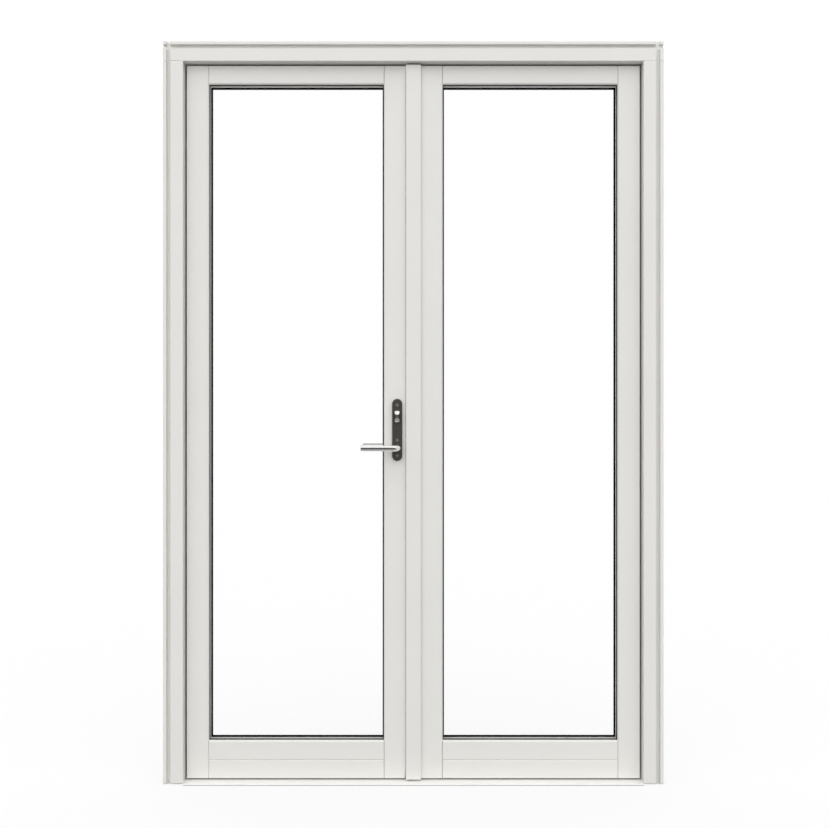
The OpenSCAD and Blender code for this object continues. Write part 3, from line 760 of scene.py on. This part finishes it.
def shells(node):
    """The boxes of a node's separate solids, from low to high."""
    work = bmesh.new()
    work.from_mesh(NODES[node].data)
    bmesh.ops.remove_doubles(work, verts=work.verts, dist=WELD)
    left = set(work.verts)
    boxes = []
    while left:
        reached = [left.pop()]
        corners = []
        while reached:
            vert = reached.pop()
            corners.append(vert.co.copy())
            for edge in vert.link_edges:
                other = edge.other_vert(vert)
                if other in left:
                    left.remove(other)
                    reached.append(other)
        low = Vector(map(min, zip(*corners)))
        high = Vector(map(max, zip(*corners)))
        boxes.append((low, high))
    work.free()
    return sorted(boxes, key=lambda box: (round(box[0].x, 3), box[0].z))


# Operators


class FRENCHDOORS_OT_timber(bpy.types.Operator):
    """Paints the frame, the leaves and the outside beads"""

    bl_idname = "french_doors.timber"
    bl_label = "Painted timber"
    bl_options = {"REGISTER", "UNDO"}

    def execute(self, context):
        doors = context.scene.french_doors
        for node, slot in SLOT_OF.items():
            if slot != "paint":
                continue
            along = "x" if node.endswith(CROSSWAYS) else "z"
            if node.endswith("glazing_beads"):
                along = "round"
            coat = finish("timber_" + along, painted_timber, doors.timber, along)
            soften(node, doors.timber.arris, coat, shortest=BOARD_EDGE)
        return {"FINISHED"}


class FRENCHDOORS_OT_sill(bpy.types.Operator):
    """Coats the threshold and the drip rails"""

    bl_idname = "french_doors.sill"
    bl_label = "Threshold and drip rails"
    bl_options = {"REGISTER", "UNDO"}

    def execute(self, context):
        doors = context.scene.french_doors
        coat = finish("coated", coated_aluminium, doors.metal)
        for node, slot in SLOT_OF.items():
            if slot == "aluminium":
                soften(node, doors.metal.edge, coat, steps=2, shortest=COATED_EDGE)
        return {"FINISHED"}


class FRENCHDOORS_OT_glazing(bpy.types.Operator):
    """Glass, gaskets, perforated spacers, setting blocks and bead pins"""

    bl_idname = "french_doors.glazing"
    bl_label = "Glazing"
    bl_options = {"REGISTER", "UNDO"}

    def execute(self, context):
        doors = context.scene.french_doors
        s = doors.glazing
        glass = finish("glass", clear_glass, s)
        rubber = finish("rubber", extruded_rubber, "black_rubber", s.rubber)
        spacer = finish("spacer", coated_spacer, s)
        blocks = finish("blocks", moulded_blocks)
        for leaf in LEAVES:
            for pane in ("inner_pane", "outer_pane"):
                dress(f"{leaf}_{pane}", glass).visible_shadow = False
            for gasket in ("inner_gasket", "outer_gasket"):
                soften(f"{leaf}_{gasket}", GASKET_ROUND, rubber)
            soften(f"{leaf}_spacer", FINE_ROUND, spacer, steps=2)
            soften(f"{leaf}_setting_blocks", BLOCK_ROUND, blocks, steps=2)
            self.perforate(leaf, s)
            self.pin_beads(leaf, doors)
        return {"FINISHED"}

    def perforate(self, leaf, s):
        """Two rows of perforations round the spacer's sight face."""
        pane_low, pane_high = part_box(f"{leaf}_spacer")
        bar = Vector((SPACER_BAR, 0, SPACER_BAR))
        low = pane_low + bar
        high = pane_high - bar
        places = []
        for share in PERFORATION_ROWS:
            y = low.y + share * (high.y - low.y)
            for x in self.steps(low.x, high.x, s.perforation_pitch):
                places.append((Vector((x, y, low.z)), Vector((0, 0, 1))))
                places.append((Vector((x, y, high.z)), Vector((0, 0, -1))))
            for z in self.steps(low.z, high.z, s.perforation_pitch):
                places.append((Vector((low.x, y, z)), Vector((1, 0, 0))))
                places.append((Vector((high.x, y, z)), Vector((-1, 0, 0))))
        name = f"{leaf}_spacer_perforations"
        # the perforations are flat dots coloured dark: painted shade for the holes
        hole_shade_coat = finish("hole", painted_hole_shade)
        mesh = grow(name, points(name, places), dot_tree, hole_shade_coat, Radius=0.6 * MM, Height=0.1 * MM, Sides=6)
        new_piece(name, mesh, body=f"{leaf}_leaf")

    def pin_beads(self, leaf, doors):
        """Punched and filled pins along the outside beads."""
        low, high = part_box(f"{leaf}_glazing_beads")
        inset = 4.5 * MM
        places = []
        for x in self.steps(low.x, high.x, doors.glazing.pin_pitch):
            for z in (low.z + inset, high.z - inset):
                places.append((Vector((x, high.y, z)), OUTDOORS))
        for z in self.steps(low.z, high.z, doors.glazing.pin_pitch):
            for x in (low.x + inset, high.x - inset):
                places.append((Vector((x, high.y, z)), OUTDOORS))
        name = f"{leaf}_bead_pins"
        coat = finish("timber_round", painted_timber, doors.timber, "round")
        mesh = grow(name, points(name, places), dot_tree, coat, Radius=1.1 * MM, Height=0.3 * MM, Sides=12)
        new_piece(name, mesh, body=f"{leaf}_leaf")

    @staticmethod
    def steps(start, stop, pitch):
        """Even places between two ends, about a pitch apart."""
        count = max(1, round((stop - start) / pitch))
        return [start + (i + 0.5) * (stop - start) / count for i in range(count)]


class FRENCHDOORS_OT_hinges(bpy.types.Operator):
    """Hinge plates, knuckles, pins and their screws"""

    bl_idname = "french_doors.hinges"
    bl_label = "Hinges"
    bl_options = {"REGISTER", "UNDO"}

    def execute(self, context):
        doors = context.scene.french_doors
        zinc = finish("zinc", zinc_steel, doors.metal)
        for node in (
            "left_hinge_frames", "right_hinge_frames", "active_hinge_leaves", "passive_hinge_leaves",
            "left_hinge_pins", "right_hinge_pins", "frame_sleeves",
        ):
            soften(node, doors.metal.edge, zinc, steps=2)
        for node in ("frame_hinge_screws", "active_hinge_screws", "passive_hinge_screws"):
            boxes = shells(node)
            heads = []
            for low, high in boxes:
                middle = (low + high) / 2
                heads.append((Vector((middle.x, high.y, middle.z)), OUTDOORS))
            reach = max(high.y - low.y for low, high in boxes)
            name = "cross_" + node
            mesh = grow(name, points(name, heads), screw_tree, zinc, Shank_Length=reach)
            new_piece(name, mesh, node=node)
        return {"FINISHED"}


class FRENCHDOORS_OT_lock(bpy.types.Operator):
    """Faceplate, case, rods, flush bolts and keepers"""

    bl_idname = "french_doors.lock"
    bl_label = "Lock and bolts"
    bl_options = {"REGISTER", "UNDO"}

    def execute(self, context):
        doors = context.scene.french_doors
        zinc = finish("zinc", zinc_steel, doors.metal)
        for node in ("lock_faceplate", "lock_case", "head_keepers", "flush_bolt_plates"):
            soften(node, FINE_ROUND, zinc, steps=2)
        for node in ("upper_rod", "lower_rod", "upper_flush_bolt", "lower_flush_bolt", "spindle"):
            soften(node, doors.metal.edge, zinc, steps=2)
        dress("lock_hub", zinc)
        return {"FINISHED"}


class FRENCHDOORS_OT_handle(bpy.types.Operator):
    """Back plate, its screws, the bent lever and the thumb turn"""

    bl_idname = "french_doors.handle"
    bl_label = "Handle set"
    bl_options = {"REGISTER", "UNDO"}

    def execute(self, context):
        doors = context.scene.french_doors
        plate = finish("plate", charcoal_plate, doors.metal)
        polish = finish("polish", polished_steel, doors.metal)
        soften("handle_plate", FINE_ROUND, plate, steps=2)
        soften("thumbturn", FINE_ROUND, polish, steps=2)
        self.screws(doors.metal, plate)
        for node in ("lever_handle", "outer_lever"):
            self.lever(node, doors.handle, polish)
        return {"FINISHED"}

    def screws(self, metal, coat):
        """Coated screws, each with a light cross in its recess that is a painted highlight."""
        places = []
        boxes = shells("handle_screws")
        for low, high in boxes:
            middle = (low + high) / 2
            places.append((Vector((middle.x, low.y, middle.z)), INDOORS))
        low, high = boxes[0]
        radius = (high.x - low.x) / 2
        length = 1.6 * radius
        width = 2 * MM
        mesh = grow(
            "plate_screws", points("plate_screws", places), screw_tree, coat,
            Head_Radius=radius, Neck_Radius=radius, Head_Height=1.8 * MM,
            Shank_Radius=1.7 * MM, Shank_Length=high.y - low.y,
            Slot_Length=length, Slot_Width=width, Slot_Depth=0.9 * MM,
        )
        new_piece("plate_screws", mesh, node="handle_screws")
        # light crosses at the bottom of the recesses: a painted highlight
        inset = 0.3 * MM
        painted_glint = [(place - inset * INDOORS, facing) for place, facing in places]
        steel = finish("painted_glint", painted_glint_steel, metal)
        mesh = grow(
            "screw_crosses", points("screw_crosses", painted_glint), cross_tree, steel,
            Length=length - 2 * inset, Width=width - 2 * inset, Height=0.5 * MM,
        )
        new_piece("screw_crosses", mesh, body=BODY_OF["handle_screws"])

    def lever(self, node, handle, polish):
        """The bar comes straight out of its plate, bends a quarter turn and runs to its tip."""
        low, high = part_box(node)
        radius = (high.z - low.z) / 2
        axis_x = high.x - radius
        axis_z = (low.z + high.z) / 2
        indoors = low.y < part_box("handle_plate")[0].y
        foot_y = high.y if indoors else low.y
        bar_y = low.y + radius if indoors else high.y - radius
        path = bpy.data.curves.new(node, "CURVE")
        path.dimensions = "3D"
        spline = path.splines.new("POLY")
        corners = [(axis_x, foot_y, axis_z), (axis_x, bar_y, axis_z), (low.x, bar_y, axis_z)]
        spline.points.add(len(corners) - 1)
        for point, corner in zip(spline.points, corners):
            point.co = (*corner, 1)
        mesh = grow(node, path, bar_tree, polish, Radius=radius, Bend=handle.bend, Sides=handle.sides)
        bar = in_scene(node + "_rough", mesh)
        for polygon in mesh.polygons:
            polygon.use_smooth = True
        tip = bar.modifiers.new("tip", "BEVEL")
        tip.limit_method = "ANGLE"
        tip.angle_limit = math.radians(60)
        tip.width = handle.tip
        tip.segments = 8
        tip.use_clamp_overlap = False
        new_piece("bent_" + node, settled(bar), node=node, material=polish)


class FRENCHDOORS_OT_seals(bpy.types.Operator):
    """Seals of the frame, the leaves and the meeting gap"""

    bl_idname = "french_doors.seals"
    bl_label = "Seals"
    bl_options = {"REGISTER", "UNDO"}

    def execute(self, context):
        doors = context.scene.french_doors
        rubber = finish("rubber", extruded_rubber, "black_rubber", doors.glazing.rubber)
        seal_and_shade = finish("pale_rubber", extruded_rubber, "pale_rubber", SEAL_GREY_AND_SHADE)
        for node in ("frame_seal", "active_bottom_seal", "passive_bottom_seal"):
            soften(node, SEAL_ROUND, rubber)
        # the meeting seal's grey is partly painted shade, for the soft shade line beside the post
        soften("meeting_seal", MEETING_SEAL_ROUND, seal_and_shade)
        return {"FINISHED"}


class FRENCHDOORS_OT_studio(bpy.types.Operator):
    """White floor, white surroundings that light the doors, glowing dark sheets that paint reflections, the
    camera
    """

    bl_idname = "french_doors.studio"
    bl_label = "Studio"
    bl_options = {"REGISTER", "UNDO"}

    def execute(self, context):
        s = context.scene.french_doors.studio
        self.floor(s)
        self.surroundings(s)
        self.painted_reflections()
        self.camera(s)
        return {"FINISHED"}

    @staticmethod
    def calc(tree, operation, *terms):
        """A Math node on sockets and plain numbers."""
        node = tree.nodes.new("ShaderNodeMath")
        node.operation = operation
        for socket, term in zip(node.inputs, terms):
            if isinstance(term, bpy.types.NodeSocket):
                tree.links.new(term, socket)
            else:
                socket.default_value = term
        return node.outputs["Value"]

    def seen(self, tree):
        """One where the camera, a reflection or glass looks at the surface, nought for other light."""
        path = tree.nodes.new("ShaderNodeLightPath")
        either = self.calc(tree, "MAXIMUM", path.outputs["Is Camera Ray"], path.outputs["Is Glossy Ray"])
        return self.calc(tree, "MAXIMUM", either, path.outputs["Is Transmission Ray"])

    def floor(self, s):
        """A white floor that keeps a soft shadow at the doors' foot."""
        half = 30.0
        mesh = bpy.data.meshes.new("floor")
        corners = [(-half, -half, 0), (half, -half, 0), (half, half, 0), (-half, half, 0)]
        mesh.from_pydata(corners, [], [(0, 1, 2, 3)])
        floor = in_scene("floor", mesh)
        material = bpy.data.materials.new("white_floor")
        material.use_nodes = True
        tree = material.node_tree
        tree.nodes.clear()
        matt = tree.nodes.new("ShaderNodeBsdfDiffuse")
        matt.inputs["Color"].default_value = (s.floor, s.floor, s.floor, 1)
        share = 0.18
        soft = tree.nodes.new("ShaderNodeBsdfDiffuse")
        soft.inputs["Color"].default_value = (share, share, share, 1)
        # the light of the surroundings on an open floor, so that floor and glow together make white there
        open_light = s.ambient + s.overhead * 2 / 3 + s.ahead * 4 / (15 * math.pi)
        glow = tree.nodes.new("ShaderNodeEmission")
        glow.inputs["Strength"].default_value = 1 - share * open_light
        white = tree.nodes.new("ShaderNodeAddShader")
        tree.links.new(soft.outputs["BSDF"], white.inputs[0])
        tree.links.new(glow.outputs["Emission"], white.inputs[1])
        mix = tree.nodes.new("ShaderNodeMixShader")
        tree.links.new(self.seen(tree), mix.inputs["Fac"])
        tree.links.new(matt.outputs["BSDF"], mix.inputs[1])
        tree.links.new(white.outputs["Shader"], mix.inputs[2])
        out = tree.nodes.new("ShaderNodeOutputMaterial")
        tree.links.new(mix.outputs["Shader"], out.inputs["Surface"])
        mesh.materials.append(material)

    def surroundings(self, s):
        """A white room that gives most of its light from overhead and from the indoor side."""
        world = bpy.data.worlds.new("white_room")
        bpy.context.scene.world = world
        world.use_nodes = True
        tree = world.node_tree
        way = tree.nodes.new("ShaderNodeTexCoord")
        apart = tree.nodes.new("ShaderNodeSeparateXYZ")
        tree.links.new(way.outputs["Generated"], apart.inputs["Vector"])
        up = self.calc(tree, "MAXIMUM", apart.outputs["Z"], 0)
        indoors = self.calc(tree, "MAXIMUM", self.calc(tree, "MULTIPLY", apart.outputs["Y"], -1), 0)
        light = self.calc(tree, "MULTIPLY_ADD", up, s.overhead, s.ambient)
        light = self.calc(tree, "MULTIPLY_ADD", self.calc(tree, "POWER", indoors, 3), s.ahead, light)
        level = tree.nodes.new("ShaderNodeMapRange")
        level.inputs["To Max"].default_value = 1.0
        tree.links.new(light, level.inputs["To Min"])
        tree.links.new(self.seen(tree), level.inputs["Value"])
        back = tree.nodes["Background"]
        back.inputs["Color"].default_value = (1, 1, 1, 1)
        tree.links.new(level.outputs["Result"], back.inputs["Strength"])

    def painted_reflections(self):
        """Painted reflections: glowing dark sheets that only reflections see, indoors along the floor and
        up a wall, outdoors an arch.
        """
        low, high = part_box("lever_handle")
        eye = Vector((0, low.y, (low.z + high.z) / 2))
        half, reach, lift = 14.0, 4.0, 1 * MM
        top, foot, bottom = PAINTED_SWEEP[0][0], PAINTED_SWEEP[1][0], PAINTED_SWEEP[-1][0]
        wall = eye.z / math.tan(math.radians(-foot))
        rows = []
        for degrees in range(top, bottom - 1, -1):
            slope = math.tan(math.radians(degrees))
            ahead = wall if degrees >= foot else -eye.z / slope
            place = Vector((0, eye.y - ahead, max(lift, eye.z + ahead * slope)))
            rows.append((place, self.tone(degrees, PAINTED_SWEEP)))
        self.card("indoor_painted_reflection", rows, half)
        rows = []
        for degrees in range(PAINTED_ARCH[0][0], PAINTED_ARCH[-1][0] + 1, 5):
            angle = math.radians(degrees)
            place = eye + Vector((0, -reach * math.cos(angle), reach * math.sin(angle)))
            rows.append((place, self.tone(degrees, PAINTED_ARCH)))
        self.card("outdoor_painted_reflection", rows, reach)

    @staticmethod
    def card(name, rows, half):
        """A glowing sheet for painted reflections, through places in the middle plane, each with its tone,
        half its width each way.
        """
        across = Vector((half, 0, 0))
        places = [tuple(place + side) for place, tone in rows for side in (-across, across)]
        faces = [(2 * i, 2 * i + 1, 2 * i + 3, 2 * i + 2) for i in range(len(rows) - 1)]
        mesh = bpy.data.meshes.new(name)
        mesh.from_pydata(places, [], faces)
        tones = mesh.attributes.new("tone", "FLOAT", "POINT")
        tones.data.foreach_set("value", [tone for place, tone in rows for side in range(2)])
        card = in_scene(name, mesh)
        material = bpy.data.materials.new(name)
        material.use_nodes = True
        tree = material.node_tree
        tree.nodes.clear()
        tone = tree.nodes.new("ShaderNodeAttribute")
        tone.attribute_name = "tone"
        glow = tree.nodes.new("ShaderNodeEmission")
        tree.links.new(tone.outputs["Fac"], glow.inputs["Strength"])
        out = tree.nodes.new("ShaderNodeOutputMaterial")
        tree.links.new(glow.outputs["Emission"], out.inputs["Surface"])
        mesh.materials.append(material)
        # the sheet glows with its tone and only reflections see it: a painted reflection
        card.visible_camera = False
        card.visible_diffuse = False
        card.visible_shadow = False
        card.visible_transmission = False

    @staticmethod
    def tone(degrees, stops):
        """The tone at an angle between two of the stops."""
        for (start, first), (end, last) in zip(stops, stops[1:]):
            if min(start, end) <= degrees <= max(start, end):
                return first + (last - first) * (degrees - start) / (end - start)
        raise ValueError("the angle lies outside the stops")

    def camera(self, s):
        """A level camera in front of the doors, shifted as the picture is framed."""
        data = bpy.data.cameras.new("photo_camera")
        data.sensor_width = SENSOR_MM
        data.lens = s.focal_px / PHOTO_PX * SENSOR_MM
        data.shift_x = -s.shift_px[0] / PHOTO_PX
        data.shift_y = -s.shift_px[1] / PHOTO_PX
        camera = in_scene("photo_camera", data)
        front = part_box("left_jamb")[0].y
        camera.location = (0, front - s.distance, s.eye)
        camera.rotation_euler = (math.pi / 2, 0, 0)
        bpy.context.scene.camera = camera


class FRENCHDOORS_PT_panel(bpy.types.Panel):
    """Lists the pieces in the sidebar"""

    bl_idname = "FRENCHDOORS_PT_panel"
    bl_label = "French Doors"
    bl_space_type = "VIEW_3D"
    bl_region_type = "UI"
    bl_category = "French Doors"

    def draw(self, context):
        for operator in OPERATORS:
            self.layout.operator(operator.bl_idname)


SETTINGS = (TimberSettings, MetalSettings, GlazingSettings, HandleSettings, StudioSettings, FrenchDoors)
OPERATORS = (
    FRENCHDOORS_OT_studio,
    FRENCHDOORS_OT_timber,
    FRENCHDOORS_OT_sill,
    FRENCHDOORS_OT_glazing,
    FRENCHDOORS_OT_hinges,
    FRENCHDOORS_OT_lock,
    FRENCHDOORS_OT_handle,
    FRENCHDOORS_OT_seals,
)


def register():
    for cls in (*SETTINGS, *OPERATORS, FRENCHDOORS_PT_panel):
        bpy.utils.register_class(cls)
    bpy.types.Scene.french_doors = PointerProperty(type=FrenchDoors)


def unregister():
    del bpy.types.Scene.french_doors
    for cls in reversed((*SETTINGS, *OPERATORS, FRENCHDOORS_PT_panel)):
        bpy.utils.unregister_class(cls)


def main():
    register()
    bpy.context.scene.view_settings.view_transform = "Standard"
    for operator in OPERATORS:
        group, name = operator.bl_idname.split(".")
        getattr(getattr(bpy.ops, group), name)()


if __name__ == "__main__":
    main()
